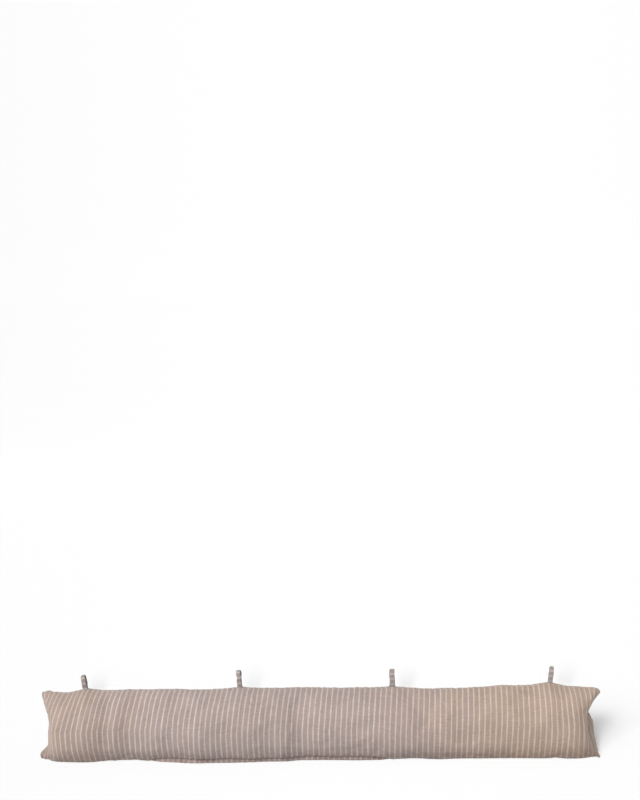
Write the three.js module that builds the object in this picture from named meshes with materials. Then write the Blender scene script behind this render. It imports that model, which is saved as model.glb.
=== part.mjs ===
// A draught excluder: a long stuffed tube of striped ticking that lies along the foot of a door.
// A front and a back panel are sewn together all round and filled, so the tube has a seam along
// its top and its bottom, flat seamed ends that are drawn in between their corners, and four
// pointed corners. Four folded tapes of the same cloth are caught in the top seam as hanging loops.
//
// Millimetres, +Z up, +X along the tube, -Y to the front, the origin on the floor in the middle.

import * as THREE from "three";
import { mergeVertices } from "three/addons/utils/BufferGeometryUtils.js";

// ---- Driving dimensions -------------------------------------------------------------------------

const LENGTH = 900; // from corner tip to corner tip
const HEIGHT = 107.6; // floor to top seam on an even stretch
const DEPTH = 94; // front to back on an even stretch
const FLOOR_SINK = 9; // how much of the round underside the floor has pressed flat

const END_RUN = 74; // length over which the filling thins out to the end seam
const END_DEPTH_POWER = 2.6; // how bluntly the tube closes: 2 is an ellipse, more is squarer
const SEAM_THICK = 2.6; // the sewn edge: two layers of cloth and their turnings

// The two ends.
//   topCorner, bottomCorner : heights of the two corner tips
//   forward                 : how far the lower corner is rolled to the front
//   deepest                 : where the end seam lies furthest in, from -1 below to 1 above
//   backPower               : below that point, how much sooner the back swells past the seam
const ENDS = {
  left: { topCorner: 107, bottomCorner: 1.2, forward: 11, deepest: 0.2, backPower: 1.5 },
  right: { topCorner: 99, bottomCorner: 1.2, forward: 15, deepest: 0.36, backPower: 8 },
};
const BACK_ONSET = 0.35; // share of the half height over which the back's swelling sets in

// How far the filling draws each end seam inwards, between its blunt corners, one row for each
// height.
//   height      : from -1 at the lower corner to 1 at the upper
//   left, right : inwards at that end, mm
const END_SEAM_COLUMNS = { height: 0, left: 1, right: 2 };
const END_SEAMS = [
  [-1.0, 2.4, 6.5],
  [-0.95, 0.6, 6.6],
  [-0.91, 0, 7.6],
  [-0.87, 0.3, 9.0],
  [-0.78, 2.3, 11.4],
  [-0.69, 8.2, 14.0],
  [-0.6, 13.4, 16.0],
  [-0.45, 15.8, 18.5],
  [-0.3, 16.4, 19.8],
  [-0.15, 17.1, 20.3],
  [0, 18.0, 20.8],
  [0.12, 18.7, 21.0],
  [0.21, 19.0, 21.0],
  [0.3, 18.0, 21.0],
  [0.39, 16.2, 20.4],
  [0.48, 13.3, 18.0],
  [0.57, 10.4, 14.3],
  [0.66, 7.8, 11.0],
  [0.75, 5.6, 6.6],
  [0.85, 2.7, 2.4],
  [0.94, 1.4, 0],
  [0.98, 2.6, 0],
  [1.0, 5.0, 0.6],
];

const RIDGE_POWER = 1.12; // roundness of the section: 1 is an ellipse, more pinches the seams
const FOOT_POWER = 0.9; // the same low on the front, where the weight spreads the filling
const CORNER_POWER = 2.1; // the same at the ends, where the two panels meet in a sharp edge

const LOOP_PITCH = 249; // between neighbouring loops along the top seam
const TAPE_THICK = 2.2; // cloth folded in and stitched down
const LOOP_HEIGHT = 26; // root to crown
const LOOP_SPREAD = 12.4; // outside, from the front leg to the back leg
const CROWN_FLAT = 3.6; // flat length under the crown, where a hook bears
const ROOT_SPREAD = 5.6; // outside, where both legs enter the seam
const SEAT_GAP = 0.3; // between a loop's root and the tube
const TUG_REACH = 20; // how far along the seam a loop's tug fades out

const STEPS_ROUND = 44; // points round the section, a multiple of four
const STEP_ALONG = 14; // spacing of the sections between the ends
const END_STEPS = 12; // sections on each thinning end

// How the filled tube departs from an even one, one row for each place along it.
//   at    : place along X, mm
//   top   : height of the top seam above (+) or below (-) HEIGHT
//   front : how far the front bulges out (+) or lies in (-)
//   back  : the same for the back
//   sway  : how far the whole section lies off the straight line, - to the front
const UNEVEN_COLUMNS = { at: 0, top: 1, front: 2, back: 3, sway: 4 };
const UNEVEN = [
  [-450, 0, 0, 0, 0],
  [-412, -3, 1, -1, -1],
  [-373, 0, 3, 1, -2],
  [-330, 0, -1, 0, 1],
  [-295, 0, -3, 2, 3],
  [-240, 1, 1, 0, -1],
  [-180, 1, 5, -2, -6],
  [-110, 3, 5, 0, -6],
  [-60, 2, 2, 2, -4],
  [-15, 1, -1, 1, 1],
  [60, 0, 0, -1, 0],
  [122, 0, 0, 0, 1],
  [190, -3.5, -2, 2, 3],
  [250, -3, -3, 1, 5],
  [310, 0, -3, 0, 5],
  [371, 1, -1, -1, 4],
  [412, -3, 1, 2, 1],
  [450, 0, 0, 0, 0],
];

// The hanging loops, one row each, from the left.
//   drift : off its even place along the seam, mm
//   lean  : tilt along the tube, degrees, + to the right
//   width : width of the tape, mm
//   tall  : height against LOOP_HEIGHT
//   tug   : how far it draws the seam up at its root, mm
const LOOP_COLUMNS = { drift: 0, lean: 1, width: 2, tall: 3, tug: 4 };
const LOOPS = [
  [-1.0, -9, 8.2, 0.88, 2.6],
  [4.4, -3, 7.8, 1.05, 1.4],
  [0.2, 0, 8.2, 1.1, 0.8],
  [1.0, 8, 8.0, 0.98, 3.0],
];

// ---- Materials ----------------------------------------------------------------------------------

const ticking = new THREE.MeshStandardMaterial({
  color: "#b09e94",
  roughness: 0.95,
  metalness: 0,
});
const tape = new THREE.MeshStandardMaterial({
  color: "#a89a90",
  roughness: 0.95,
  metalness: 0,
});

// ---- Small helpers ------------------------------------------------------------------------------

const lerp = THREE.MathUtils.lerp;
const clamp = THREE.MathUtils.clamp;
const smooth = (share) => share * share * (3 - 2 * share);

// One column of a table between its rows, which go by their first column.
function between(rows, column, at, ease = (share) => share) {
  const next = rows.findIndex((row) => row[0] >= at);
  if (next <= 0) return rows[next < 0 ? rows.length - 1 : 0][column];
  const [before, after] = [rows[next - 1], rows[next]];
  return lerp(before[column], after[column], ease((at - before[0]) / (after[0] - before[0])));
}
const eased = (rows, column, at) => between(rows, column, at, smooth);

// ---- The filled tube ----------------------------------------------------------------------------

const endAt = (at) => (at < 0 ? ENDS.left : ENDS.right);
const loopPlace = (index) =>
  (index - (LOOPS.length - 1) / 2) * LOOP_PITCH + LOOPS[index][LOOP_COLUMNS.drift];

// How full the tube is at a place along it: 0 at the end seam, 1 past the thinning run.
function fullness(at) {
  const inward = clamp((LENGTH / 2 - Math.abs(at)) / END_RUN, 0, 1);
  return (1 - (1 - inward) ** END_DEPTH_POWER) ** (1 / END_DEPTH_POWER);
}

// Height of the top seam at a place along the tube: even, and drawn up where a loop is sewn in.
function topSeam(at) {
  const level = HEIGHT + eased(UNEVEN, UNEVEN_COLUMNS.top, at);
  const tugged = LOOPS.reduce(
    (sum, row, i) => sum + row[LOOP_COLUMNS.tug] * Math.exp(-(((at - loopPlace(i)) / TUG_REACH) ** 2)),
    level,
  );
  return lerp(endAt(at).topCorner, tugged, smooth(fullness(at)));
}

// How far the end seam lies inwards of the full length at the end that a place is nearer to.
const seamDraw = (at, up) =>
  between(END_SEAMS, at < 0 ? END_SEAM_COLUMNS.left : END_SEAM_COLUMNS.right, up);

// How quickly that draw fades as the tube fills: sooner on the back, below the deepest point.
function drawFade(end, up, full, isBack) {
  const below = smooth(clamp((end.deepest - up) / BACK_ONSET, 0, 1));
  return (1 - full ** 2) ** (isBack ? lerp(1, end.backPower, below) : 1);
}

// A point of the section at a place along the tube. The angle runs from the back over the top
// seam, the front and the underside.
function tubePoint(at, angle) {
  const end = endAt(at);
  const full = fullness(at);
  const bottom = lerp(end.bottomCorner, -FLOOR_SINK, smooth(full));
  const isBack = Math.cos(angle) > 0;
  const bulge = eased(UNEVEN, UNEVEN_COLUMNS[isBack ? "back" : "front"], at);
  const reach = lerp(SEAM_THICK / 2, DEPTH / 2 + bulge, full);
  const up = Math.sin(angle);
  const middlePower = up < 0 && !isBack ? FOOT_POWER : RIDGE_POWER;
  const power = lerp(CORNER_POWER, middlePower, smooth(full));

  const across = Math.sign(Math.cos(angle)) * Math.abs(Math.cos(angle)) ** power;
  const z = Math.max(0, lerp(bottom, topSeam(at), (up + 1) / 2));
  const x = at - Math.sign(at) * seamDraw(at, up) * drawFade(end, up, full, isBack);
  const forward = end.forward * ((1 - up) / 2) ** 2 * (1 - full);
  const y = reach * across + eased(UNEVEN, UNEVEN_COLUMNS.sway, at) - forward;
  return new THREE.Vector3(x, y, z);
}

// The places along the tube where a section stands, closer together on the thinning ends, where
// they are spread evenly round the curve on which the tube closes.
function sectionPlaces() {
  const half = LENGTH / 2;
  const middleSteps = Math.round((LENGTH - 2 * END_RUN) / STEP_ALONG);
  const turn = (i) => Math.cos((Math.PI / 2) * (i / END_STEPS)) ** (2 / END_DEPTH_POWER);
  const endPlaces = Array.from({ length: END_STEPS }, (_, i) => half - END_RUN * (1 - turn(i)));
  const middlePlaces = Array.from({ length: middleSteps + 1 }, (_, i) =>
    lerp(END_RUN - half, half - END_RUN, i / middleSteps),
  );
  return [...endPlaces.map((at) => -at), ...middlePlaces, ...endPlaces.reverse()];
}

function tubeGeometry() {
  const places = sectionPlaces();
  const angles = Array.from({ length: STEPS_ROUND }, (_, j) => (2 * Math.PI * j) / STEPS_ROUND);
  const points = places.flatMap((at) => angles.map((angle) => tubePoint(at, angle)));

  const corner = (i, j) => i * STEPS_ROUND + (j % STEPS_ROUND);
  const faces = [];
  for (let i = 0; i + 1 < places.length; i += 1) {
    for (let j = 0; j < STEPS_ROUND; j += 1) {
      const [a, b] = [corner(i, j), corner(i, j + 1)];
      const [c, d] = [corner(i + 1, j + 1), corner(i + 1, j)];
      faces.push(a, b, c, a, c, d);
    }
  }

  // Each end is closed by a narrow strip, from the back edge of its seam to the front edge.
  const seamTop = STEPS_ROUND / 4;
  const last = places.length - 1;
  for (let j = -seamTop; j < seamTop; j += 1) {
    const back = (k) => (k + STEPS_ROUND) % STEPS_ROUND;
    const front = (k) => (STEPS_ROUND / 2 - k + STEPS_ROUND) % STEPS_ROUND;
    const strip = [back(j), back(j + 1), front(j + 1), front(j)];
    const halves = [
      [strip[0], strip[1], strip[2]],
      [strip[0], strip[2], strip[3]],
    ];
    for (const [a, b, c] of halves) {
      if (a === b || b === c || a === c) continue;
      faces.push(corner(0, a), corner(0, c), corner(0, b));
      faces.push(corner(last, a), corner(last, b), corner(last, c));
    }
  }

  const geometry = new THREE.BufferGeometry().setFromPoints(points);
  geometry.setIndex(faces);
  geometry.computeVertexNormals();
  return geometry;
}

// ---- A hanging loop -----------------------------------------------------------------------------

// One closed teardrop line round the loop, seen along the tube: narrow at the bottom, then
// spreading to its full half width and turning over a flat crown.
function teardrop(line, { base, baseHalf, waist, hip, half, shoulder, crown, turn }) {
  const flat = CROWN_FLAT / 2;
  line.moveTo(-baseHalf, base);
  line.lineTo(baseHalf, base);
  line.bezierCurveTo(baseHalf, waist, half, hip, half, shoulder);
  line.bezierCurveTo(half, crown - turn, flat + turn, crown, flat, crown);
  line.lineTo(-flat, crown);
  line.bezierCurveTo(-flat - turn, crown, -half, crown - turn, -half, shoulder);
  line.bezierCurveTo(-half, hip, -baseHalf, waist, -baseHalf, base);
  return line;
}

// The folded tape, standing in XY with its width along Z: both legs meet in a solid root.
function loopGeometry(width, height) {
  const outerHalf = LOOP_SPREAD / 2;
  const rootHalf = ROOT_SPREAD / 2;
  const shoulder = height - outerHalf;
  const outline = teardrop(new THREE.Shape(), {
    base: 0,
    baseHalf: rootHalf,
    waist: height * 0.2,
    hip: height * 0.34,
    half: outerHalf,
    shoulder,
    crown: height,
    turn: 1.6,
  });
  const eye = teardrop(new THREE.Path(), {
    base: height * 0.14,
    baseHalf: (rootHalf - TAPE_THICK) / 2,
    waist: height * 0.26,
    hip: height * 0.36,
    half: outerHalf - TAPE_THICK,
    shoulder,
    crown: height - TAPE_THICK,
    turn: 1,
  });
  outline.holes.push(eye);

  const band = new THREE.ExtrudeGeometry(outline, {
    depth: width,
    bevelEnabled: false,
    curveSegments: 6,
    steps: 1,
  });
  band.translate(0, 0, -width / 2);
  // The drawn outline stands in YZ and the width runs along X.
  band.applyMatrix4(
    new THREE.Matrix4().makeBasis(
      new THREE.Vector3(0, 1, 0),
      new THREE.Vector3(0, 0, 1),
      new THREE.Vector3(1, 0, 0),
    ),
  );
  band.deleteAttribute("normal");
  band.deleteAttribute("uv");
  const closed = mergeVertices(band, 1e-3);
  closed.computeVertexNormals();
  return closed;
}

// ---- Assembly -----------------------------------------------------------------------------------

const draughtExcluder = new THREE.Group();

const tube = new THREE.Mesh(tubeGeometry(), ticking);
tube.name = "filled_tube";
draughtExcluder.add(tube);

LOOPS.forEach((row, index) => {
  const at = loopPlace(index);
  const lean = THREE.MathUtils.degToRad(row[LOOP_COLUMNS.lean]);
  const width = row[LOOP_COLUMNS.width];

  const loop = new THREE.Mesh(loopGeometry(width, LOOP_HEIGHT * row[LOOP_COLUMNS.tall]), tape);
  loop.name = `hanging_loop_${index + 1}`;

  // The leaning root stands on its lower edge, so its middle is lifted by half its width.
  const highest = Math.max(topSeam(at - width / 2), topSeam(at), topSeam(at + width / 2));
  const seat = new THREE.Group();
  const sway = eased(UNEVEN, UNEVEN_COLUMNS.sway, at);
  seat.position.set(at, sway, highest + SEAT_GAP + (width / 2) * Math.abs(Math.sin(lean)));
  seat.rotation.y = lean;
  seat.add(loop);
  draughtExcluder.add(seat);
});

// The origin lies under the middle of the whole part's box.
const middle = new THREE.Box3().setFromObject(draughtExcluder).getCenter(new THREE.Vector3());
draughtExcluder.position.set(-middle.x, -middle.y, 0);

export default draughtExcluder;
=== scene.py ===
# %% [markdown]
# # A striped draught excluder
#
# A draught excluder is a long tube of ticking, stuffed and sewn shut, that lies along the foot of a
# door. Four small tapes of the same cloth stand up from its top seam as hanging loops.
#
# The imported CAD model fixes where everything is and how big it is, and this script gives it its
# looks. It works out a coarse grid of cloth, lets Blender's cloth solver wrinkle it, carries the
# wrinkles over to a fine grid, and adds seams, puckers and woven stripes. Lengths are in metres,
# unless a name ends in MM.

# %% Load the fixed frame
from math import cos, pi, radians, sin

import bpy
import numpy as np
from mathutils import Matrix, Vector


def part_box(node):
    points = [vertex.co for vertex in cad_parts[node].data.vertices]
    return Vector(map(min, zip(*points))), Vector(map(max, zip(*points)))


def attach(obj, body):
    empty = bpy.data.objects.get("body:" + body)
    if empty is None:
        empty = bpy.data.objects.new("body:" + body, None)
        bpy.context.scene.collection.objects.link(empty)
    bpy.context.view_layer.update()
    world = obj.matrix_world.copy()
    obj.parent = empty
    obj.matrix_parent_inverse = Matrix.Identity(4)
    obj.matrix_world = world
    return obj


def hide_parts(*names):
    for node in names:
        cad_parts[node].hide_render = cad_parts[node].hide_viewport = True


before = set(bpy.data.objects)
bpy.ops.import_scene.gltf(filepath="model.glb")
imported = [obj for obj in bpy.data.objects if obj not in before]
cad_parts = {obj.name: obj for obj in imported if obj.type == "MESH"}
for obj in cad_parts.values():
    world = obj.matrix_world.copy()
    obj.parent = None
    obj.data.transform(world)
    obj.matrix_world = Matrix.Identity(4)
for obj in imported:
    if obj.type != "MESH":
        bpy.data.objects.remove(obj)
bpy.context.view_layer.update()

MM = 0.001
print("nodes", sorted(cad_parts))

# %% [markdown]
# ## The camera
#
# A camera could be aimed at the tube with a Track To constraint, but that would tip it down, and
# what stands upright would lean together in the picture. So the camera stays level, and the tube
# lies low in its view. It stands a little right of the middle and turns slightly left, so that the
# tube's right end is the nearer one, and it is rolled until the tube lies level in the picture.

# %% Camera
IMAGE_HEIGHT_PX = 800
FOCAL_PX = 1182                  # focal length in pixels of the 640 x 800 picture
CAMERA_AT = Vector((0.1726, -1.8887, 0.5703))
CAMERA_TURN = radians(4.54)      # to the left of straight ahead
CAMERA_ROLL = radians(1.69)      # clockwise, as seen from behind it
SENSOR_MM = 36


def make_camera():
    """Lens = focal length in pixels times the sensor's long side over the picture's long side. The
    camera's own right and up are turned about its line of sight by the roll."""
    data = bpy.data.cameras.new("camera")
    data.sensor_width = SENSOR_MM
    data.lens = FOCAL_PX * SENSOR_MM / IMAGE_HEIGHT_PX
    camera = bpy.data.objects.new("camera", data)
    forward = Vector((-sin(CAMERA_TURN), cos(CAMERA_TURN), 0))
    right = Vector((cos(CAMERA_TURN), sin(CAMERA_TURN), 0))
    up = Vector((0, 0, 1))
    rolled_right = right * cos(CAMERA_ROLL) - up * sin(CAMERA_ROLL)
    rolled_up = up * cos(CAMERA_ROLL) + right * sin(CAMERA_ROLL)
    turn = Matrix((rolled_right, rolled_up, -forward)).transposed().to_4x4()
    camera.matrix_world = Matrix.Translation(CAMERA_AT) @ turn
    bpy.context.scene.collection.objects.link(camera)
    bpy.context.scene.camera = camera
    return camera


camera = make_camera()
print("camera at", tuple(CAMERA_AT), "with a lens of", round(camera.data.lens, 1), "mm")

# %% [markdown]
# ## The tube's shape
#
# Two long panels are sewn together all round and filled. The filling pushes the middle out to a
# round section, the floor presses the underside flat, and at each end the round form closes down to
# an upright seam, which is drawn in between two pointed corners.
#
# It could be sculpted, or two flat panels could be sewn and filled by the cloth solver, but neither
# would keep the outline of the CAD solid. Here the surface is a formula of two parameters: the place
# along X, and an angle that runs from the bottom seam up the back, over the top seam and down the
# front. Short tables hold what is uneven about it.


# %% Helpers for easing
def smooth(share):
    """Eases 0..1 with level ends: three squares less two cubes."""
    share = np.clip(share, 0, 1)
    return share * share * (3 - 2 * share)


def mix(first, second, share):
    """The first at share 0, the second at share 1, evenly between."""
    return first * (1 - share) + second * share


def eased(rows, column, at):
    """One column of a table at each place, eased between the two rows on either side of it."""
    places = rows[:, 0]
    row = np.clip(np.searchsorted(places, at, side="right") - 1, 0, len(places) - 2)
    share = smooth((at - places[row]) / (places[row + 1] - places[row]))
    return mix(rows[row, column], rows[row + 1, column], share)


def bump(distance, width):
    """A bell: 1 at no distance, fading over the width."""
    return np.exp(-((distance / width) ** 2))


# %% Sizes of the tube
tube_low, tube_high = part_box("filled_tube")
TUBE_LENGTH = tube_high[0] - tube_low[0]
MIDDLE_Y = 2.5 * MM              # the tube's straight centre line, seen from the middle of its box
TUBE_HEIGHT = 107.6 * MM         # floor to top seam on an even stretch
TUBE_DEPTH = 94 * MM             # front to back on an even stretch
FLOOR_SINK = 9 * MM              # how much of the round underside the floor has pressed flat
END_RUN = 74 * MM                # length over which the filling thins out to the end seam
END_POWER = 2.6                  # how bluntly the tube closes: 2 is an ellipse, more is squarer
SEAM_THICK = 2.6 * MM            # two layers of cloth and their turnings
RIDGE_POWER = 1.12               # roundness of the section: 1 is an ellipse, less is squarer
FOOT_POWER = 0.9                 # the same low on the front, where the weight spreads the filling
CORNER_POWER = 2.1               # the same at the ends, where the panels meet in a sharp edge
BACK_ONSET = 0.55                # share of the half height over which the back's swelling sets in
ARCH_AT = -310 * MM              # where the underside arches up a little from the floor
ARCH = 4.0 * MM
ARCH_REACH = 27 * MM
print("tube", TUBE_LENGTH / MM, "mm long,", TUBE_HEIGHT / MM, "high,", TUBE_DEPTH / MM, "deep")

# %% How the ends close
# Heights of the two corners, how far the lower corner comes forward, the height share below which
# the back swells out past the seam, and how strongly it does.
LEFT_END = dict(top=106.6 * MM, bottom=1.2 * MM, forward=11 * MM, deepest=0.2, back_power=1.5)
RIGHT_END = dict(top=99.8 * MM, bottom=1.2 * MM, forward=23 * MM, deepest=0.36, back_power=8)

# How far each end seam is drawn in between its blunt corners, mm.
#    height share from -1 to 1, left end, right end
END_SEAMS_MM = np.array([
    [-1.00, 2.4, 6.5],
    [-0.95, 0.8, 6.6],
    [-0.87, 0.3, 9.0],
    [-0.78, 2.3, 11.4],
    [-0.69, 8.2, 14.0],
    [-0.60, 13.4, 16.0],
    [-0.45, 15.8, 19.3],
    [-0.30, 16.4, 21.2],
    [-0.15, 17.1, 22.0],
    [0.00, 18.0, 22.8],
    [0.12, 18.7, 22.8],
    [0.21, 19.0, 22.6],
    [0.30, 18.0, 22.2],
    [0.39, 16.2, 21.0],
    [0.48, 13.3, 18.0],
    [0.57, 10.4, 14.3],
    [0.66, 7.4, 11.1],
    [0.75, 5.0, 6.8],
    [0.85, 2.8, 2.4],
    [0.94, 2.8, -1.2],
    [0.98, 4.4, -1.4],
    [1.00, 7.4, -0.6],
])
print("end seams drawn in by up to", END_SEAMS_MM[:, 1:].max(axis=0), "mm")

# %% How the filling lies
# How the filled tube departs from an even one, mm: a row for each place along it.
#    at, top seam up, front bulge out, back bulge out, sway of the whole section (- to the front)
UNEVEN_MM = np.array([
    [-450, 0, 0, 0, 0],
    [-412, -3, 1, -1, -1],
    [-373, 0, 3, 1, -2],
    [-330, 0, -1, 0, 1],
    [-295, 0, -3, 2, 3],
    [-240, 1, 1, 0, -1],
    [-180, 1, 5, -2, -6],
    [-110, 3, 5, 0, -6],
    [-60, 2, 2, 2, -4],
    [-15, 1, -1, 1, 1],
    [60, 0, 0, -1, 0],
    [122, 0, 0, 0, 1],
    [190, -3.5, -2, 2, 3],
    [250, -3, -3, 1, 5],
    [310, 0, -3, 0, 5],
    [371, 1, -1, -1, 4],
    [408, -1.6, -3, 2, 1],
    [430, -2.8, -5, 1, 0.5],
    [450, 0, 0, 0, 0],
])
TOP, FRONT, BACK, SWAY = 1, 2, 3, 4
print("front bulges by", UNEVEN_MM[:, FRONT].min(), "to", UNEVEN_MM[:, FRONT].max(), "mm")

# %% Where the loops pull
# A row for each hanging loop: x, y, z of its foot, lean, tape width, height, tug on the seam; mm
# and degrees, with the lean towards +X.
LOOPS_MM = np.array([
    [-374.5, 0.5, 111.1, -9, 6.9, 22.9, 2.6],
    [-120.1, -3.5, 112.4, -3, 6.8, 27.3, 1.4],
    [124.7, 3.5, 108.7, 0, 8.2, 28.6, 0.8],
    [374.5, 6.4, 112.4, 8, 6.5, 25.5, 3.0],
])
TUG = 6                          # the column that holds the tug
TUG_REACH = 20 * MM              # how far along the seam a loop's tug fades out
ROOT_TUG = 0.7 * MM              # how much more the seam stands up right at a loop's root
ROOT_REACH = 6 * MM
print("loops apart by", np.diff(LOOPS_MM[:, 0]), "mm")


# %% Parts of the section formula
def end_value(at, key):
    """A size of whichever end is nearer."""
    return np.where(at < 0, LEFT_END[key], RIGHT_END[key])


def fullness(at):
    """0 at the end seam, 1 past the thinning run, on a superellipse."""
    inward = np.clip((TUBE_LENGTH / 2 - abs(at)) / END_RUN, 0, 1)
    return (1 - (1 - inward) ** END_POWER) ** (1 / END_POWER)


def top_seam(at):
    """Height of the top seam: even, uneven by the table, and drawn up where a loop is sewn in."""
    level = TUBE_HEIGHT + eased(UNEVEN_MM, TOP, at / MM) * MM
    for loop in LOOPS_MM:
        level = level + loop[TUG] * MM * bump(at - loop[0] * MM, TUG_REACH)
        level = level + ROOT_TUG * bump(at - loop[0] * MM, ROOT_REACH)
    return mix(end_value(at, "top"), level, smooth(fullness(at)))


def seam_draw(at, up):
    """How far the end seam of the nearer end lies inwards at each height."""
    left, right = (np.interp(up, END_SEAMS_MM[:, 0], END_SEAMS_MM[:, end]) for end in (1, 2))
    return np.where(at < 0, left, right) * MM


print("top seam in the middle", top_seam(np.zeros(1))[0] / MM, "mm up")


# %% Section formula
def tube_points(at, angle):
    """The tube's points: half the depth times the cosine, the height with the sine, cut flat at
    the floor, and the ends drawn in between their corners."""
    at = at[:, None] + 0 * angle
    full = fullness(at)
    eased_full = smooth(full)
    up, outward = np.sin(angle), np.cos(angle)
    is_back = outward > 0
    bulge = np.where(is_back, eased(UNEVEN_MM, BACK, at / MM), eased(UNEVEN_MM, FRONT, at / MM))
    reach = mix(SEAM_THICK / 2, TUBE_DEPTH / 2 + bulge * MM, full)
    middle_power = np.where((up < 0) & ~is_back, FOOT_POWER, RIDGE_POWER)
    across = np.sign(outward) * abs(outward) ** mix(CORNER_POWER, middle_power, eased_full)
    underside = -FLOOR_SINK + ARCH * bump(at - ARCH_AT, ARCH_REACH)
    bottom = mix(end_value(at, "bottom"), underside, eased_full)
    z = np.maximum(0, mix(bottom, top_seam(at), (up + 1) / 2))

    below = smooth((end_value(at, "deepest") - up) / BACK_ONSET)
    fade = (1 - full**2) ** np.where(is_back, mix(1, end_value(at, "back_power"), below), 1)
    x = at - np.sign(at) * seam_draw(at, up) * fade
    forward = end_value(at, "forward") * ((1 - up) / 2) ** 2 * (1 - full)
    sway = eased(UNEVEN_MM, SWAY, at / MM) * MM
    y = reach * across + sway - forward + MIDDLE_Y
    return np.stack([x, y, z], -1)


# %% [markdown]
# ## The grids
#
# The same formula fills two grids. The solver is slow on many points, so it gets a coarse one. The
# fine one has its rows and columns where the form is tight: rows crowd round the closing ends, and
# columns crowd at the two long seams. On one stretch the real tube has rolled a little, so that its
# bottom seam shows low on the front. There the angles turn, and the form stays as it is.

# %% Where rows and columns stand
ROLL = 0.70                      # turn of the bottom seam round the section, in radians
ROLL_FROM, ROLL_TO = -326 * MM, 180 * MM
ROLL_RUN = 90 * MM               # length over which the seam climbs from below


def rolled_share(at):
    """1 where the tube has rolled, easing to 0 over the run at both ends of that stretch."""
    return smooth((at - ROLL_FROM) / ROLL_RUN) * smooth((ROLL_TO - at) / ROLL_RUN)


def section_places(end_steps, middle_steps):
    """Places along X: even along the middle, and even round the curve on which each end closes."""
    turn = np.cos(pi / 2 * np.arange(end_steps) / end_steps) ** (2 / END_POWER)
    half = TUBE_LENGTH / 2
    left = -half + END_RUN * (1 - turn)
    middle = np.linspace(END_RUN - half, half - END_RUN, middle_steps + 1)
    return np.concatenate([left, middle, -left[::-1]])


def round_shares(count, crowding=0.0):
    """Shares of the way round, from the bottom seam. Crowding packs them at the two long seams."""
    even = np.arange(count) / count
    return even - crowding * np.sin(4 * pi * even) / (4 * pi)


def section_angles(at, share):
    """Angle of each share of the way round. Where the tube has rolled, the bottom seam turns
    towards the front, the top seam stays, and the cloth between them shares the turn."""
    roll = ROLL * rolled_share(at)
    return -pi / 2 + 2 * pi * share - roll[:, None] * (1 + np.cos(2 * pi * share)) / 2


# %% The two grids
COARSE_END, COARSE_MIDDLE, COARSE_AROUND = 10, 118, 52
FINE_END, FINE_MIDDLE, FINE_AROUND = 26, 420, 168
SEAM_CROWDING = 0.66
HALF = FINE_AROUND // 2          # the column of the top seam

coarse_places = section_places(COARSE_END, COARSE_MIDDLE)
coarse = tube_points(coarse_places, section_angles(coarse_places, round_shares(COARSE_AROUND)))
fine_places = section_places(FINE_END, FINE_MIDDLE)
fine_shares = round_shares(FINE_AROUND, SEAM_CROWDING)
drawn = tube_points(fine_places, section_angles(fine_places, fine_shares))
print("coarse grid", coarse.shape[:2], "fine grid", drawn.shape[:2])

# %% [markdown]
# ## Blowing it up
#
# Stuffed ticking wrinkles along its seams, because the thread draws them up, and in its corners,
# because flat cloth can't close round them. Such wrinkles could be drawn one by one, but a solver
# finds more natural ones. The coarse grid goes to it with some air pressure and no weight, with
# cloth a little too long for its shape. Only the wrinkles are kept, with a cap, so that the form
# stays the one that the CAD model gives.


# %% Helpers for meshes
def link(name, data):
    """A new object at the origin, in the scene."""
    piece = bpy.data.objects.new(name, data)
    bpy.context.scene.collection.objects.link(piece)
    return piece


def mesh_from(name, points, faces):
    """Points and faces as a smooth-shaded mesh object at the origin."""
    mesh = bpy.data.meshes.new(name)
    mesh.from_pydata(points.reshape(-1, 3).tolist(), [], faces)
    mesh.polygons.foreach_set("use_smooth", np.ones(len(mesh.polygons), bool))
    mesh.update()
    return link(name, mesh)


def tube_quads(along, around):
    """Faces of a closed tube of (along x around) points, facing outwards."""
    i, j = np.meshgrid(np.arange(along - 1), np.arange(around), indexing="ij")
    k = (j + 1) % around
    corners = [i * around + j, i * around + k, (i + 1) * around + k, (i + 1) * around + j]
    return np.stack(corners, -1).reshape(-1, 4)


def end_strips(along, around):
    """Closes both ends of a tube: quads from the back edge to the front edge, and two tips."""
    j = np.arange(1, around // 2 - 1)
    near = np.stack([j, around - j, around - j - 1, j + 1], -1).tolist()
    half = around // 2
    near += [[0, around - 1, 1], [half, half - 1, half + 1]]
    last = (along - 1) * around
    return near + [[corner + last for corner in reversed(face)] for face in near]


def tube_faces(points):
    """All faces of a grid of points that closes round and at both ends."""
    return tube_quads(*points.shape[:2]).tolist() + end_strips(*points.shape[:2])


def grid_normals(points):
    """Normals of a closed grid: its steps around crossed with its steps along."""
    along = np.gradient(points, axis=0)
    around = np.roll(points, -1, axis=1) - np.roll(points, 1, axis=1)
    normal = np.cross(around, along)
    return normal / np.maximum(np.linalg.norm(normal, axis=-1, keepdims=True), 1e-12)


print("quads of the fine grid", len(tube_quads(*drawn.shape[:2])))

# %% Cloth settings
SIM_FRAMES = 16
PRESSURE = 0.5
GATHER = 0.03                    # share by which the thread shortens the seams
SLACK = 0.012                    # share by which the rest of the cloth is too long


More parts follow.
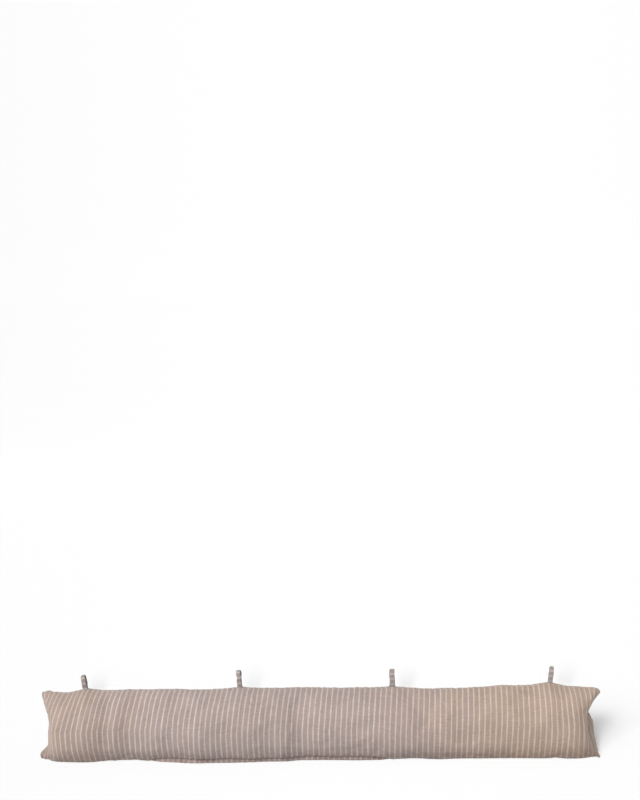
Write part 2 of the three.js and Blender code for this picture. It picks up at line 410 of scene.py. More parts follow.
def add_cloth(piece, seam_points):
    """Cloth settings: light, springy and pliable, inflated, with its seams drawn up."""
    gather = piece.vertex_groups.new(name="gather")
    gather.add(seam_points.tolist(), 1.0, "REPLACE")
    modifier = piece.modifiers.new("cloth", "CLOTH")
    cloth = modifier.settings
    cloth.quality = 6
    cloth.mass = 0.25
    cloth.tension_stiffness = cloth.compression_stiffness = 40
    cloth.shear_stiffness = 15
    cloth.bending_stiffness = 0.3
    cloth.use_pressure = True
    cloth.uniform_pressure_force = PRESSURE
    cloth.vertex_group_shrink = "gather"
    cloth.shrink_min = -SLACK
    cloth.shrink_max = GATHER
    cloth.effector_weights.gravity = 0
    modifier.collision_settings.use_collision = False


# %% Run the cloth
def blow_up(points):
    """Runs the cloth for a few frames and reads it back as an array."""
    along, around = points.shape[:2]
    piece = mesh_from("blow_up", points, tube_faces(points))
    seams = np.zeros((along, around), bool)
    seams[:, [0, around // 2]] = True
    seams[[0, -1]] = True
    add_cloth(piece, np.flatnonzero(seams.ravel()))
    scene = bpy.context.scene
    scene.frame_start, scene.frame_end = 1, SIM_FRAMES
    for step in range(1, SIM_FRAMES + 1):
        scene.frame_set(step)
    blown = piece.evaluated_get(bpy.context.evaluated_depsgraph_get()).to_mesh()
    moved = np.empty(len(blown.vertices) * 3)
    blown.vertices.foreach_get("co", moved)
    scene.frame_set(1)
    bpy.data.objects.remove(piece)
    return moved.reshape(points.shape)


# %% Keep the wrinkles
WRINKLE_CAP = 2.2 * MM
SWELL_AROUND, SWELL_ALONG = 5, 4     # grid steps each way that count as swelling, not wrinkling


def running_mean(values, reach, axis, closed):
    """Mean over a window, round the tube or along it."""
    pad = [(0, 0), (0, 0)]
    pad[axis] = (reach, reach)
    padded = np.pad(values, pad, "wrap" if closed else "edge")
    size = values.shape[axis]
    windows = [np.take(padded, np.arange(k, k + size), axis) for k in range(2 * reach + 1)]
    return sum(windows) / len(windows)


def wrinkles(points):
    """How far the cloth stands out of its own smoothed self, softly capped."""
    out = ((blow_up(points) - points) * grid_normals(points)).sum(-1)
    swell = running_mean(running_mean(out, SWELL_AROUND, 1, True), SWELL_ALONG, 0, False)
    print("swell up to", out.max() / MM, "mm; wrinkles about", (out - swell).std() / MM, "mm")
    return np.tanh((out - swell) / WRINKLE_CAP) * WRINKLE_CAP


coarse_wrinkles = wrinkles(coarse)

# %% [markdown]
# ## The fine surface
#
# What is finer than the coarse grid comes now: the grooves of the seams, their puckers, the low
# roll below the bottom seam, and the lumpy filling. A bump map could show them too, but only real
# geometry changes the outline and throws shadows. Each is a height above the drawn surface. The
# heights are added up, and every point moves along its normal by the sum.


# %% Carry the wrinkles over
def cubic_weights(share):
    """Weights of four points in a row for a smooth curve through the middle two."""
    s, t, u = share, share**2, share**3
    return [(-s + 2 * t - u) / 2, (2 - 5 * t + 3 * u) / 2, (s + 4 * t - 3 * u) / 2, (u - t) / 2]


def resample(values, rows, columns):
    """Values of a grid at fractional rows and columns; the columns go round."""
    row, column = np.floor(rows).astype(int), np.floor(columns).astype(int)
    row_weights = cubic_weights((rows - row)[:, None])
    column_weights = cubic_weights((columns - column)[None, :])
    total = 0.0
    for i in range(4):
        picked_rows = np.clip(row + i - 1, 0, values.shape[0] - 1)
        for j in range(4):
            picked = values[np.ix_(picked_rows, (column + j - 1) % values.shape[1])]
            total = total + picked * row_weights[i] * column_weights[j]
    return total


coarse_rows = np.interp(fine_places, coarse_places, np.arange(len(coarse_places)))
fine_wrinkles = resample(coarse_wrinkles, coarse_rows, fine_shares * COARSE_AROUND)
print("fine wrinkles", fine_wrinkles.min() / MM, fine_wrinkles.max() / MM, "mm")


# %% Distances on the cloth
def arc_round(points):
    """Length round each section from the bottom seam; the last column is the whole girth."""
    steps = np.linalg.norm(np.roll(points, -1, axis=1) - points, axis=-1)
    return np.concatenate([np.zeros((len(points), 1)), np.cumsum(steps, axis=1)], axis=1)


length_round = arc_round(drawn)
girth = length_round[:, -1:]
from_bottom = length_round[:, :-1]
to_bottom = np.minimum(from_bottom, girth - from_bottom)
to_top = abs(from_bottom - length_round[:, HALF : HALF + 1])
to_end = (TUBE_LENGTH / 2 - abs(fine_places))[:, None] + 0 * to_top
place = fine_places[:, None] + 0 * to_top
is_back = np.arange(FINE_AROUND)[None, :] < HALF
rolled = rolled_share(place)
print("girth", girth[len(girth) // 2] / MM, "mm")


# %% Seeded unevenness
def ripples(at, seed, pitch, count=20):
    """Uneven ripples: the sum of sines about one pitch, with seeded phases, mostly within 1."""
    dice = np.random.default_rng(seed)
    total = 0.0
    for _ in range(count):
        wave = pitch * dice.uniform(0.6, 1.8)
        total = total + np.sin(2 * pi * at / wave + dice.uniform(0, 2 * pi))
    return total / np.sqrt(count)


def lumps(x, y, seed, pitch, count=24):
    """The same over a surface: plane waves in seeded directions."""
    dice = np.random.default_rng(seed)
    total = 0.0
    for _ in range(count):
        turn, wave = dice.uniform(0, 2 * pi), pitch * dice.uniform(0.7, 1.6)
        along = x * cos(turn) + y * sin(turn)
        total = total + np.sin(2 * pi * along / wave + dice.uniform(0, 2 * pi))
    return total / np.sqrt(count)


print("ripples up to", ripples(fine_places, 3, 11 * MM).max())

# %% Wrinkles, seams and puckers
WRINKLES_AT_TOP = 0.15           # share of the wrinkles that is kept by the top seam
WRINKLES_BELOW = 0.35            # how much more of them is kept lower down
TOP_GROOVE = dict(depth=0.8 * MM, width=0.9 * MM)
BOTTOM_GROOVE = dict(depth=0.9 * MM, width=1.0 * MM)
TOP_PUCKERS = dict(seeds=(3, 4), depth=0.35 * MM, reach=7 * MM, pitch=11 * MM)
BOTTOM_PUCKERS = dict(seeds=(5, 6), depth=0.4 * MM, reach=8 * MM, pitch=10 * MM)


def groove(distance, depth, width):
    """A seam: the thread pulls a narrow groove, and the turnings behind it lift its two sides."""
    return -depth * bump(distance, width) + 0.45 * depth * bump(distance - 2.6 * width, 1.8 * width)


def puckers(distance, seeds, depth, reach, pitch):
    """Ripples along a seam that die away from it, different on the back and front panels."""
    ripple = np.where(is_back, ripples(place, seeds[0], pitch), ripples(place, seeds[1], pitch))
    return depth * ripple * np.exp(-distance / reach) * smooth(distance / (1.5 * MM))


kept = WRINKLES_AT_TOP + WRINKLES_BELOW * smooth((to_top - 5 * MM) / (30 * MM))
inner = smooth((to_end - 3 * MM) / (12 * MM))     # the long seams fade into the end seams
relief = fine_wrinkles * kept * smooth(to_end / (8 * MM))
relief += inner * groove(to_top, **TOP_GROOVE)
relief += inner * groove(to_bottom, **BOTTOM_GROOVE)
relief += inner * puckers(to_top, **TOP_PUCKERS)
relief += inner * puckers(to_bottom, **BOTTOM_PUCKERS)
print("relief so far", relief.min() / MM, relief.max() / MM, "mm")

# %% The roll and the filling
# Where the bottom seam has rolled to the front, the cloth below it stands out as a low roll, fuller
# at its left, and the thread pulls a deeper crease above it.
ROLL_OUT_LEFT, ROLL_OUT_RIGHT = 4.0 * MM, 1.2 * MM
roll_out = mix(ROLL_OUT_LEFT, ROLL_OUT_RIGHT, smooth((place + 200 * MM) / (120 * MM)))
relief += rolled * np.where(is_back, roll_out * bump(to_bottom - 6 * MM, 5 * MM), 0)
relief += -rolled * 1.7 * MM * bump(to_bottom, 2.8 * MM)

# Ripples run from the end seams into the tube, and a filling is never quite even.
relief += 0.6 * MM * ripples(from_bottom, 7, 17 * MM) * bump(to_end - 9 * MM, 8 * MM)
below_top = smooth(to_top / (25 * MM))
relief += 0.5 * MM * lumps(place, from_bottom, 8, 75 * MM) * smooth(to_end / (60 * MM)) * below_top
relief += 0.12 * MM * lumps(place, from_bottom, 9, 22 * MM) * smooth(to_end / (30 * MM))

# The corners end in puffy little ears, with a fold behind each.
#    row and column of the tip, how far the ear puffs out, how deep the fold is; mm
EARS_MM = [
    (0, HALF, 1.0, 0.7),
    (0, 0, 0.9, 0.5),
    (-1, HALF, 0.3, 0.0),
    (-1, 0, 0.8, 0.4),
]
for row, column, puff, fold in EARS_MM:
    to_tip = np.linalg.norm(drawn - drawn[row, column], axis=-1)
    relief += puff * MM * bump(to_tip - 5 * MM, 4 * MM) - fold * MM * bump(to_tip - 15 * MM, 4 * MM)
tube = drawn + relief[..., None] * grid_normals(drawn)
tube[..., 2] = np.maximum(tube[..., 2], 0)
print("relief", relief.min() / MM, relief.max() / MM, "mm")

# %% End seams
# Two rings close each end seam: share of the seam's width, step outwards.
END_RINGS = [(0.66, 0.3 * MM), (0.12, -0.5 * MM)]


def end_ring(seam, width, step):
    """The end seam's ring, narrowed to a share of its width and moved along X."""
    count = len(seam)
    middle = (seam + seam[-np.arange(count) % count]) / 2
    return middle + (seam - middle) * width + np.array([step, 0, 0])


def with_end_seams(points):
    """Each end seam is two rolled edges of cloth with a groove between them."""
    left = [end_ring(points[0], width, -step) for width, step in reversed(END_RINGS)]
    right = [end_ring(points[-1], width, step) for width, step in END_RINGS]
    return np.concatenate([left, points, right])


tube = with_end_seams(tube)
print("tube grid", tube.shape[:2])

# %% [markdown]
# ## Cloth coordinates and stripes
#
# Stripes painted on X alone would run straight through every fold, and an unwrapped UV map would
# need seams cut by hand. The grid already is the cloth, so each point's metres of cloth along the
# tube and round it are worked out, and become a UV map that every pattern reads. The stripes run
# round the tube. The cloth was sewn a little askew, so they drift and lean.

# %% Sizes of the stripes
STRIPE_PITCH = 8.61 * MM         # from one ivory line to the next
STRIPE_WIDTH = 2.1 * MM          # of the ivory line itself
STRIPE_START = -405.7 * MM       # where one ivory line crosses the middle of the front
BACK_SHIFT = 2.6 * MM            # the back panel's stripes miss the front's by this much
LEAN_MIDDLE = 53 * MM            # the height at which the stripes don't lean
LEAN_REACH = 51 * MM             # from there to the heights that the leans are given for

# How the stripes run, mm: a row for each stripe's place at mid height.
#    at mid height, drift, lean at the top, lean at the bottom
STRIPES_MM = np.array([
    [-450, 0.0, 15.0, 3.0],
    [-405.7, 0.0, 12.2, 1.4],
    [-378.5, 1.4, 9.2, 1.6],
    [-303, -1.4, 7.4, 0.6],
    [-171, 2.9, 4.8, -1.0],
    [-18, 0.8, 4.8, -1.5],
    [59, 0.9, 4.1, -1.9],
    [136, 0.4, 4.1, -2.3],
    [214, 1.6, 2.8, -3.2],
    [292, 2.1, 3.0, -3.6],
    [344, 2.0, 1.9, -3.9],
    [395, 1.6, -0.8, -3.4],
    [421, 1.5, -3.7, -3.5],
    [450, 1.3, -6.0, -3.8],
])
DRIFT, TOP_LEAN, BOTTOM_LEAN = 1, 2, 3
print("about", round(TUBE_LENGTH / STRIPE_PITCH), "stripes")


# %% Cloth coordinates
def stripe_shift(x, height):
    """How far a stripe lies from its place at mid height: its drift plus its lean, which grows
    evenly from the middle to the top and bottom seams."""
    above = np.clip((height - LEAN_MIDDLE) / LEAN_REACH, -1.05, 1.12)
    top, bottom = eased(STRIPES_MM, TOP_LEAN, x / MM), eased(STRIPES_MM, BOTTOM_LEAN, x / MM)
    return (eased(STRIPES_MM, DRIFT, x / MM) + np.where(above > 0, top * above, -bottom * above)) * MM


def cloth_lengthwise(points):
    """Metres of cloth along the tube, 0 on an ivory line: X along the middle, then the length of
    the grid's own lines, so that the stripes crowd together where the ends turn in."""
    steps = np.diff(points, axis=0)
    far = abs(points[:-1, :1, 0] + points[1:, :1, 0]) / 2 > TUBE_LENGTH / 2 - END_RUN
    steps = np.where(far, np.linalg.norm(steps, axis=-1), steps[..., 0])
    lengths = np.concatenate([np.zeros((1, points.shape[1])), np.cumsum(steps, axis=0)])
    middle = len(points) // 2
    lengths += points[middle, :, 0] - lengths[middle]
    return lengths - stripe_shift(points[..., 0], points[..., 2]) - STRIPE_START


def quad_corners(values):
    """The values at the four corners of each quad of a grid, in the order of its faces."""
    return np.stack([values[:-1, :-1], values[:-1, 1:], values[1:, 1:], values[1:, :-1]], -1)


even_tube = with_end_seams(drawn)
lengthwise = cloth_lengthwise(even_tube)
lengthwise = quad_corners(np.concatenate([lengthwise, lengthwise[:, :1]], axis=1))
lengthwise += BACK_SHIFT * is_back[..., None]
crosswise = quad_corners(arc_round(even_tube))
print("cloth lengthwise", lengthwise.min(), lengthwise.max(), "crosswise", crosswise.max())


# %% The tube's mesh
def set_cloth_uv(piece, u, v):
    """One (u, v) in metres for each face corner. The few faces that close the ends take the
    first corner's u."""
    mesh = piece.data
    layer = mesh.uv_layers.new(name="cloth")
    uv = np.zeros((len(mesh.loops), 2))
    uv[: u.size] = np.stack([u.ravel(), v.ravel()], -1)
    uv[u.size :, 0] = u.ravel()[0]
    layer.data.foreach_set("uv", uv.ravel())


tube_piece = mesh_from("stuffed_tube", tube, tube_faces(tube))
set_cloth_uv(tube_piece, lengthwise, crosswise)
print("stuffed_tube faces", len(tube_piece.data.polygons))

# %% Painted shade
# Shade is painted into the cloth's colour: darker along the foot towards the floor, less so on the
# band that rolled up from below, and darker in the crease above that band and in the end seams. Shares
# of
# full painted shade:
FOOT_SHADE, CREASE_SHADE, END_SEAM_SHADE = 0.75, 0.4, 0.6
BAND_LESS_SHADE = 0.6                 # share of the foot's painted shade that the band lacks
FOOT_LOW, FOOT_RISE = 1 * MM, 30 * MM
CREASE_REACH = 4.5 * MM
CLOSING_ROWS = ((2, 2), (0, 0))  # the two rings at either end


def set_painted_shade(piece, painted_shade):
    """How much painted shade darkens the cloth at each point, 0 to 1."""
    layer = piece.data.attributes.new("painted_shade", "FLOAT", "POINT")
    layer.data.foreach_set("value", np.ascontiguousarray(painted_shade.ravel(), np.float32))


foot = 1 - smooth((tube[..., 2] - FOOT_LOW) / FOOT_RISE)
crease = np.pad(rolled * bump(to_bottom, CREASE_REACH), CLOSING_ROWS)
band = np.pad(rolled * is_back, CLOSING_ROWS)
painted_shade = np.clip(FOOT_SHADE * foot * (1 - BAND_LESS_SHADE * band) + CREASE_SHADE * crease, 0, 1)
# The two rings of each end seam get the end seams' painted shade.
painted_shade[:2] = painted_shade[-2:] = END_SEAM_SHADE
set_painted_shade(tube_piece, painted_shade)
print("painted_shade", painted_shade.min(), painted_shade.max())

# %% [markdown]
# ## The hanging loops
#
# Each loop is a strip of the ticking folded into a narrow tape, bent over in a teardrop with both
# legs sewn into the top seam. Its flat face looks to the front and back. A curve with a bevel would
# give a tape of one width, and a cloth simulation would let it flop. So a flat section is swept
# along a teardrop line, and its width and thickness waver as handmade tape does.

# %% Loop sizes
LOOP_STEPS = 72
TAPE_CORNERS = 28
TAPE_THICK = 2.2 * MM            # of the folded tape
LOOP_OUT = 4.5 * MM              # of the tape's middle line from the loop's middle, at the widest
LOOP_ROOT = 1.7 * MM             # the same where the legs enter the seam
ROOT_DEPTH = 2.4 * MM            # how far the legs reach down into the seam
LEG_PART = 1.25                  # the legs are fully apart at 1 / LEG_PART of their length
SIDE_POWER, THICK_POWER = 0.42, 0.62     # of the section: 1 is an ellipse, less is squarer
ROOT_SPREAD, CROWN_PINCH = 0.2, 0.12     # share by which the tape is wider or narrower there


def loop_line(height):
    """The tape's middle line in (y, z): two legs that part upwards, joined by a round crown."""
    turn = np.linspace(0, pi, LOOP_STEPS // 2 + 1)
    top = height - TAPE_THICK / 2 - LOOP_OUT
    crown = np.stack([-LOOP_OUT * np.cos(turn), top + LOOP_OUT * np.sin(turn)], -1)
    share = np.linspace(0, 1, LOOP_STEPS // 4, endpoint=False)
    out = mix(LOOP_ROOT, LOOP_OUT, smooth(share * LEG_PART) ** 0.9)
    leg = np.stack([-out, mix(-ROOT_DEPTH, top, share)], -1)
    return np.concatenate([leg, crown, (leg * [-1, 1])[::-1]])


def tape_section(width):
    """A flat section with rounded edges, squarer than an ellipse: (sideways, thick)."""
    angle = 2 * pi * np.arange(TAPE_CORNERS) / TAPE_CORNERS
    side = np.sign(np.cos(angle)) * abs(np.cos(angle)) ** SIDE_POWER * width / 2
    thick = np.sign(np.sin(angle)) * abs(np.sin(angle)) ** THICK_POWER * TAPE_THICK / 2
    return side, thick


print("points of a loop's line", len(loop_line(25 * MM)), "and of its section", TAPE_CORNERS)


# %% Sweep the loops
def make_loop(name, row, seed):
    """Sweeps the tape's section along the loop's line, leans it, and sets it on the seam. Returns
    the loop and the length of its tape."""
    x, y, z, lean, width, height, _ = row
    line = loop_line(height * MM)
    step = np.gradient(line, axis=0)
    step /= np.linalg.norm(step, axis=-1, keepdims=True)
    outward = np.stack([-step[:, 1], step[:, 0]], -1)
    side, thick = tape_section(width * MM)
    length = np.concatenate([[0], np.cumsum(np.linalg.norm(np.diff(line, axis=0), axis=-1))])
    wobble = 0.25 * MM * ripples(length, seed, 16 * MM)
    fat = 1 + 0.09 * ripples(length, seed + 1, 9 * MM)
    wide = 1 + ROOT_SPREAD * (bump(length, 8 * MM) + bump(length[-1] - length, 8 * MM))
    wide -= CROWN_PINCH * bump(length - length[-1] / 2, 2.5 * MM)
    local_x = side[None, :] * wide[:, None] + wobble[:, None]
    local_yz = line[:, None, :] + outward[:, None, :] * thick[None, :, None] * fat[:, None, None]
    tilt = radians(lean)
    points = np.stack([
        x * MM + local_x * cos(tilt) + local_yz[..., 1] * sin(tilt),
        y * MM + local_yz[..., 0],
        z * MM - local_x * sin(tilt) + local_yz[..., 1] * cos(tilt),
    ], -1)
    piece = mesh_from(name, points, tube_faces(points))
    around = arc_round(points)
    lengthwise = length[:, None] + 0 * around
    set_cloth_uv(piece, quad_corners(lengthwise) + seed * 2.3 * MM, quad_corners(around))
    return piece, length[-1]


FIRST_SEED = 21
loop_pieces = []
for number, row in enumerate(LOOPS_MM):
    loop_pieces.append(make_loop(f"tape_loop_{number + 1}", row, FIRST_SEED + number))
print("tape lengths", [round(length / MM, 1) for _, length in loop_pieces], "mm")

# %% [markdown]
# ## The cloth
#
# The tube and the tapes are of one ticking: taupe threads with a thin ivory line every few
# millimetres. A scanned cloth would be an image, and would repeat. Here shader nodes work the cloth
# out from its own metres, so it stays on the cloth from every side. Each sort of unevenness is a
# noise with its own grain along and across.


# %% Node helpers
def srgb(red, green, blue):
    """An 8-bit screen colour as the linear colour that nodes take."""
    share = np.array([red, green, blue]) / 255
    return (*np.where(share <= 0.04045, share / 12.92, ((share + 0.055) / 1.055) ** 2.4), 1.0)


def node(tree, kind, inputs, output=0, **settings):
    """Adds a node, sets it up, and fills or joins its inputs. Returns one of its outputs."""
    made = tree.nodes.new("ShaderNode" + kind)
    for key, value in settings.items():
        setattr(made, key, value)
    for key, value in inputs.items():
        if isinstance(value, bpy.types.NodeSocket):
            tree.links.new(value, made.inputs[key])
        else:
            made.inputs[key].default_value = value
    return made.outputs[output]


def calc(tree, operation, first, second=0.0):
    """A sum, product or other operation on one or two numbers."""
    return node(tree, "Math", {0: first, 1: second}, operation=operation)


def times(tree, first, *others):
    """The product of several numbers."""
    for other in others:
        first = calc(tree, "MULTIPLY", first, other)
    return first


def ramp(tree, value, low, high, out_low=0.0, out_high=1.0):
    """Eases a value from one range to another."""
    inputs = {"Value": value, "From Min": low, "From Max": high, "To Min": out_low, "To Max": out_high}
    return node(tree, "MapRange", inputs, interpolation_type="SMOOTHSTEP")


def blend_colour(tree, share, first, second):
    """The first colour at share 0, the second at share 1."""
    return node(tree, "Mix", {0: share, 6: first, 7: second}, output=2, data_type="RGBA")


def scale_colour(tree, colour, factor):
    """A colour times a number."""
    return node(tree, "VectorMath", {0: colour, "Scale": factor}, operation="SCALE")


# %% Grain of the cloth
# A row for each unevenness: grains a metre along and across the cloth, seed, detail.
GRAINS = {
    "wander": (90, 25, 1, 2),        # slow wander of the ivory lines
    "fray": (500, 900, 2, 2),        # their ragged edges
    "wear": (116, 30, 3, 2),         # stretches where they are worn thin
    "breaks": (160, 330, 11, 2),     # finer breaks in them
    "patches": (38, 32, 9, 2),       # warmer and cooler patches
    "warp": (1500, 45, 4, 2),        # streaks of the threads that run round the tube
    "weft": (60, 1400, 5, 2),        # streaks of those that run along it
    "mottle": (34, 26, 6, 3),        # a broad unevenness
    "slubs": (150, 520, 7, 2),       # thick places in the yarn
    "flecks": (330, 230, 8, 2),      # dark bits spun in with it
    "shade_patches": (90, 130, 10, 2),     # unevenness of the painted shade
}


class Cloth:
    """The cloth's coordinates in a material's tree, and the noises that are drawn on them."""

    def __init__(self, tree):
        self.tree = tree
        split = tree.nodes.new("ShaderNodeSeparateXYZ")
        tree.links.new(node(tree, "UVMap", {}, uv_map="cloth"), split.inputs[0])
        self.along, self.across = split.outputs[0], split.outputs[1]

    def noise(self, name):
        """Noise with its own grain along and across the cloth."""
        grains_along, grains_across, seed, detail = GRAINS[name]
        u, v = times(self.tree, self.along, grains_along), times(self.tree, self.across, grains_across)
        where = node(self.tree, "CombineXYZ", {0: u, 1: v, 2: seed * 7.3})
        inputs = {"Vector": where, "Scale": 1.0, "Detail": detail, "Roughness": 0.55}
        return node(self.tree, "TexNoise", inputs)

    def shift(self, name, reach):
        """A noise about 0, as a length."""
        return times(self.tree, calc(self.tree, "SUBTRACT", self.noise(name), 0.5), reach)

    def uneven(self, name, low, high, least, most):
        """A noise eased from least to most between two of its levels."""
        return ramp(self.tree, self.noise(name), low, high, least, most)


# %% Ivory lines
SOFT_EDGE = 0.45 * MM            # half the width over which a line fades out
WANDER, FRAY = 2.2 * MM, 0.7 * MM


def ivory_lines(cloth):
    """Share of ivory: the distance to the nearest whole number of pitches, against half a line's
    width. The lines wander a little, and each is more or less strong."""
    tree = cloth.tree
    wander = calc(tree, "ADD", cloth.shift("wander", WANDER), cloth.shift("fray", FRAY))
    phase = calc(tree, "DIVIDE", calc(tree, "ADD", cloth.along, wander), STRIPE_PITCH)
    number = calc(tree, "ROUND", phase)
    away = times(tree, calc(tree, "ABSOLUTE", calc(tree, "SUBTRACT", phase, number)), STRIPE_PITCH)
    line = ramp(tree, away, STRIPE_WIDTH / 2 + SOFT_EDGE, STRIPE_WIDTH / 2 - SOFT_EDGE)
    chance = node(tree, "TexWhiteNoise", {"W": number}, noise_dimensions="1D")
    strength = ramp(tree, chance, 0.0, 1.0, 0.82, 0.98)
    wear = times(tree, cloth.uneven("wear", 0.35, 0.62, 0.86, 1.0),
                 cloth.uneven("breaks", 0.35, 0.65, 0.78, 1.08))
    return times(tree, line, strength, wear)


# %% Yarn and weave
THREAD_PITCH = 0.55 * MM         # from thread to thread
# How far each of them stands up, for a value of 1.
WEAVE_UP, STREAK_UP, LINE_UP, MOTTLE_UP = 0.035 * MM, 0.10 * MM, 0.06 * MM, 0.5 * MM


def end_warmth(cloth):
    """0 for the cool colours, 1 for the warm: cooler along the middle of the tube, warmer at its ends.
    """
    tree = cloth.tree
    left = ramp(tree, cloth.along, 0.2, -0.03, 0.0, 0.5)
    right = ramp(tree, cloth.along, 0.42, 0.8)
    patches = cloth.uneven("patches", 0.3, 0.7, -0.15, 0.15)
    return calc(tree, "ADD", calc(tree, "ADD", left, right), patches)


def plain_weave(cloth):
    """Threads over and under, as pillows in a checkerboard: a sine each way, multiplied."""
    tree, turn = cloth.tree, 2 * pi / THREAD_PITCH
    over, under = (calc(tree, "SINE", times(tree, way, turn)) for way in (cloth.along, cloth.across))
    return times(tree, over, under)


def cloth_tone(cloth, warp, weft, mottle):
    """How light the cloth is: streaks both ways and a broad mottle, with slubs and flecks."""
    tree = cloth.tree
    return times(
        tree,
        ramp(tree, warp, 0.25, 0.75, 0.92, 1.08),
        ramp(tree, weft, 0.25, 0.75, 0.92, 1.08),
        ramp(tree, mottle, 0.3, 0.7, 0.95, 1.045),
        cloth.uneven("slubs", 0.62, 0.74, 1.0, 0.84),
        cloth.uneven("flecks", 0.62, 0.74, 1.0, 0.80),
    )


def weave_height(tree, parts):
    """The bump's height: each part times how far it stands up, added together."""
    total = 0.0
    for part, up in parts:
        total = calc(tree, "ADD", total, times(tree, part, up))
    return total


# %% Ticking material
SHADE_TINT = (0.65, 0.59, 0.58, 1)     # what full painted shade leaves of the cloth's red, green and blue
UNSHADED = (1, 1, 1, 1)


def ticking(name, ground_cool, ground_warm, ivory_cool, ivory_warm):
    """Plain-woven striped cloth, toned by its threads and by painted shade: matt, with a faint sheen.
    """
    material = bpy.data.materials.new(name)
    material.use_nodes = True
    tree = material.node_tree
    cloth = Cloth(tree)
    line, warmth, weave = ivory_lines(cloth), end_warmth(cloth), plain_weave(cloth)
    warp, weft, mottle = cloth.noise("warp"), cloth.noise("weft"), cloth.noise("mottle")

    ground = blend_colour(tree, warmth, ground_cool, ground_warm)
    ivory = blend_colour(tree, warmth, ivory_cool, ivory_warm)
    colour = blend_colour(tree, line, ground, ivory)
    # Painted shade: the mesh's shade share, made uneven, darkens the colour towards the shade tint.
    shade_share = node(tree, "Attribute", {}, output=2, attribute_name="painted_shade")
    shade_share = times(tree, shade_share, cloth.uneven("shade_patches", 0.3, 0.7, 0.6, 1.4))
    tint = blend_colour(tree, shade_share, UNSHADED, SHADE_TINT)
    colour = node(tree, "VectorMath", {0: colour, 1: tint}, operation="MULTIPLY")
    colour = scale_colour(tree, colour, cloth_tone(cloth, warp, weft, mottle))
    colour = scale_colour(tree, colour, ramp(tree, weave, -1.0, 1.0, 0.95, 1.03))

    height = weave_height(tree, [(weave, WEAVE_UP), (warp, STREAK_UP), (weft, STREAK_UP),
                                 (line, LINE_UP), (mottle, MOTTLE_UP)])
    normal = node(tree, "Bump", {"Strength": 1.0, "Distance": 1.0, "Height": height})

    shader = tree.nodes["Principled BSDF"]
    tree.links.new(colour, shader.inputs["Base Color"])
    tree.links.new(normal, shader.inputs["Normal"])
    tree.links.new(ramp(tree, warp, 0.2, 0.8, 0.82, 0.95), shader.inputs["Roughness"])
    shader.inputs["Specular IOR Level"].default_value = 0.22
    shader.inputs["Sheen Weight"].default_value = 0.12
    shader.inputs["Sheen Roughness"].default_value = 0.55
    return material


# %% The two cloths
ticking_cloth = ticking(
    "ticking",
    ground_cool=srgb(140, 126, 121), ground_warm=srgb(145, 127, 114),
    ivory_cool=srgb(174, 162, 156), ivory_warm=srgb(177, 160, 146),
)
tape_cloth = ticking(
    "tape",
    ground_cool=srgb(131, 122, 120), ground_warm=srgb(136, 127, 121),
    ivory_cool=srgb(168, 159, 155), ivory_warm=srgb(172, 163, 155),
)
print("materials", [material.name for material in bpy.data.materials])

# %% [markdown]
# ## Joining the frame
#
# Each piece gets its cloth, rides on the one body, and stands for its CAD node, which is hidden.

tube_piece.data.materials.append(ticking_cloth)
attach(tube_piece, "root")
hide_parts("filled_tube")

for number, (piece, tape_length) in enumerate(loop_pieces, 1):
    piece.data.materials.append(tape_cloth)
    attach(piece, "root")
    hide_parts(f"hanging_loop_{number}")

# %% [markdown]
# ## The studio's paper
#
# A long sheet of grey paper lies under the tube and sweeps up behind it, lit until it looks white.
# A white sheet would do with less light, but it throws the lamps' light back at the tube from
# below. A grey one takes more light, most of it from lamps linked to the paper alone. So that it is
# white all over, its tone is worked out at each point from the light that falls there.

# %% Sizes of the studio
SKY = 0.75                       # brightness of the white room all round
# Far lamps: azimuth, elevation, strength, spread; degrees. All but the key light the paper alone.
FAR_LAMPS = {
    "key": (32, 37, 3.25, 34),
    "paper_wide": (20, 24, 24.6, 24),
    "paper_narrow": (14, 24, 20.2, 10),
}
# The lamp beside the camera, in whose light the loops alone throw shadows on the paper.
LOOP_LAMP = dict(place=(0.06, -1.90, 0.60), power=553, radius=0.07)
SWEEP_FRONT, SWEEP_BACK, SWEEP_TURN, SWEEP_HEIGHT = -12, 12.0, 2.0, 7.5
SWEEP_STEP = 0.25                # from point to point of the flat stretch
SWEEP_SIDE = 14.0                # half the paper's width
PAPER_WHITE = 1.0                # how bright the lit paper comes out, from 0 to 1


def lamp_direction(azimuth, elevation):
    """Towards a far lamp. Azimuth 0 is over the camera side and grows to the left; degrees."""
    a, e = radians(azimuth), radians(elevation)
    return np.array([-sin(a) * cos(e), -cos(a) * cos(e), sin(e)])


print("towards the key", lamp_direction(*FAR_LAMPS["key"][:2]))


# %% Paper sweep
def sweep_profile():
    """Points and normals in (y, z): flat on the floor, a quarter circle up, and then a wall."""
    flat = np.arange(SWEEP_FRONT, SWEEP_BACK - SWEEP_TURN, SWEEP_STEP)
    turn = np.linspace(0, pi / 2, 13)
    wall = np.linspace(SWEEP_TURN, SWEEP_HEIGHT, 8)[1:]
    y = np.concatenate([flat, SWEEP_BACK - SWEEP_TURN * (1 - np.sin(turn)), SWEEP_BACK + 0 * wall])
    z = np.concatenate([0 * flat, SWEEP_TURN * (1 - np.cos(turn)), wall])
    tilt = np.concatenate([0 * flat, turn, pi / 2 + 0 * wall])
    return np.stack([0 * y, y, z], -1), np.stack([0 * y, -np.sin(tilt), np.cos(tilt)], -1)


def paper_tone(points, normals):
    """The tone at which the paper comes out white: PAPER_WHITE over the light that falls on it. A
    lamp's light is its strength times the cosine of the angle at which it strikes."""
    light = SKY
    for azimuth, elevation, strength, _ in FAR_LAMPS.values():
        light = light + strength / pi * np.maximum(normals @ lamp_direction(azimuth, elevation), 0)
    ray = np.array(LOOP_LAMP["place"]) - points
    ray /= np.linalg.norm(ray, axis=-1, keepdims=True)
    light = light + LOOP_LAMP["power"] / (4 * pi**2) * np.maximum((normals * ray).sum(-1), 0)
    return PAPER_WHITE / light


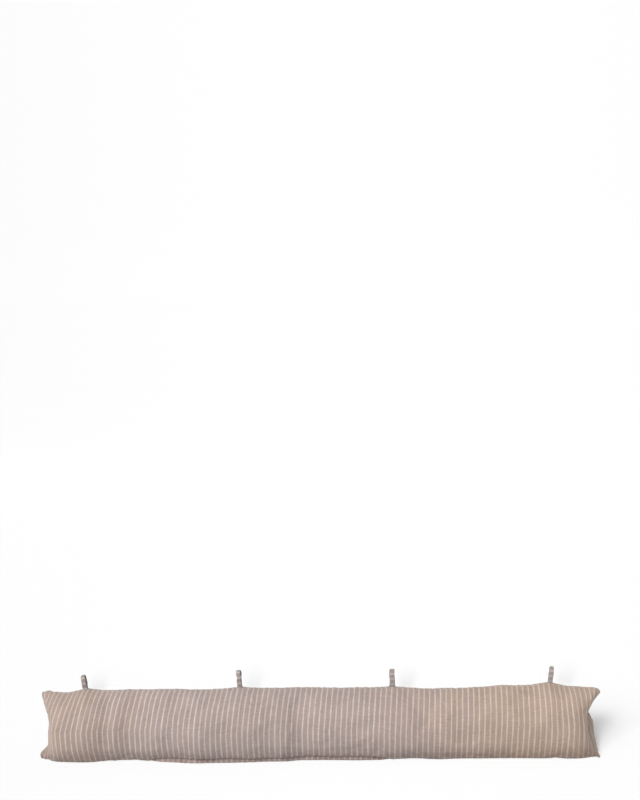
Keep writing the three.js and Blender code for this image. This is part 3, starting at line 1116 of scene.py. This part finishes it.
def paper_material():
    """Matt paper whose grey is the tone kept at each point."""
    material = bpy.data.materials.new("studio_paper")
    material.use_nodes = True
    tree = material.node_tree
    shader = tree.nodes["Principled BSDF"]
    tone = node(tree, "Attribute", {}, output=2, attribute_name="tone")
    tree.links.new(tone, shader.inputs["Base Color"])
    shader.inputs["Roughness"].default_value = 1.0
    shader.inputs["Specular IOR Level"].default_value = 0.0
    return material


def make_sweep():
    """The profile drawn out along X, with the paper's tone kept at each of its points."""
    profile, normals = sweep_profile()
    sides = np.array([[-SWEEP_SIDE, 0, 0], [SWEEP_SIDE, 0, 0]])
    i = np.arange(len(profile) - 1) * 2
    faces = np.stack([i, i + 1, i + 3, i + 2], -1).tolist()
    sweep = mesh_from("studio_sweep", profile[:, None, :] + sides, faces)
    tone = sweep.data.attributes.new("tone", "FLOAT", "POINT")
    tone.data.foreach_set("value", np.repeat(paper_tone(profile, normals), 2).astype(np.float32))
    sweep.data.materials.append(paper_material())
    return sweep


sweep = make_sweep()
print("sweep", len(sweep.data.polygons), "faces, tone under the tube",
      paper_tone(np.zeros((1, 3)), np.array([[0, 0, 1.0]])))

# %% [markdown]
# ## The lamps
#
# A white room and a wide soft lamp at the front left light the tube. A long soft shadow lies behind
# its right end, and a small one behind each loop. A lamp strong enough for them would burn the cloth
# out, so three more lamps are linked to the paper alone: two far ones, wide and narrow, throw the
# end's shadow, and in the light of a near one beside the camera only the loops throw theirs.


# %% Lights
def light_only(lamp, pieces, shadow_from=None):
    """Links a lamp to the pieces it lights, and to those that throw a shadow in its light."""
    lit = bpy.data.collections.new("lit_by_" + lamp.name)
    for piece in pieces:
        lit.objects.link(piece)
    lamp.light_linking.receiver_collection = lit
    if shadow_from:
        blockers = bpy.data.collections.new("shadows_of_" + lamp.name)
        for piece in shadow_from:
            blockers.objects.link(piece)
        lamp.light_linking.blocker_collection = blockers


def far_lamp(name, azimuth, elevation, strength, spread):
    """A sun lamp, turned so that its light comes from that direction."""
    data = bpy.data.lights.new(name, "SUN")
    data.energy, data.angle = strength, radians(spread)
    lamp = link(name, data)
    lamp.rotation_mode = "QUATERNION"
    lamp.rotation_quaternion = Vector(lamp_direction(azimuth, elevation)).to_track_quat("Z", "Y")
    return lamp


def near_lamp(name, place, power, radius):
    """A round lamp that lights just as strongly near as far."""
    data = bpy.data.lights.new(name, "POINT")
    data.energy, data.shadow_soft_size = power, radius
    data.use_nodes = True
    tree = data.node_tree
    falloff = tree.nodes.new("ShaderNodeLightFalloff")
    falloff.inputs["Strength"].default_value = 1.0
    tree.links.new(falloff.outputs["Constant"], tree.nodes["Emission"].inputs["Strength"])
    lamp = link(name, data)
    lamp.location = place
    return lamp


for name, row in FAR_LAMPS.items():
    lamp = far_lamp(name, *row)
    if name != "key":
        light_only(lamp, [sweep])
light_only(near_lamp("loop_lamp", **LOOP_LAMP), [sweep], [piece for piece, _ in loop_pieces])

# %% The room
world = bpy.data.worlds.new("studio")
bpy.context.scene.world = world
world.use_nodes = True
sky = world.node_tree.nodes["Background"]
sky.inputs["Color"].default_value = (1, 1, 1, 1)
sky.inputs["Strength"].default_value = SKY

bpy.context.scene.view_settings.view_transform = "Standard"
print("lamps", [lamp.name for lamp in bpy.data.lights], "and a room of", SKY)
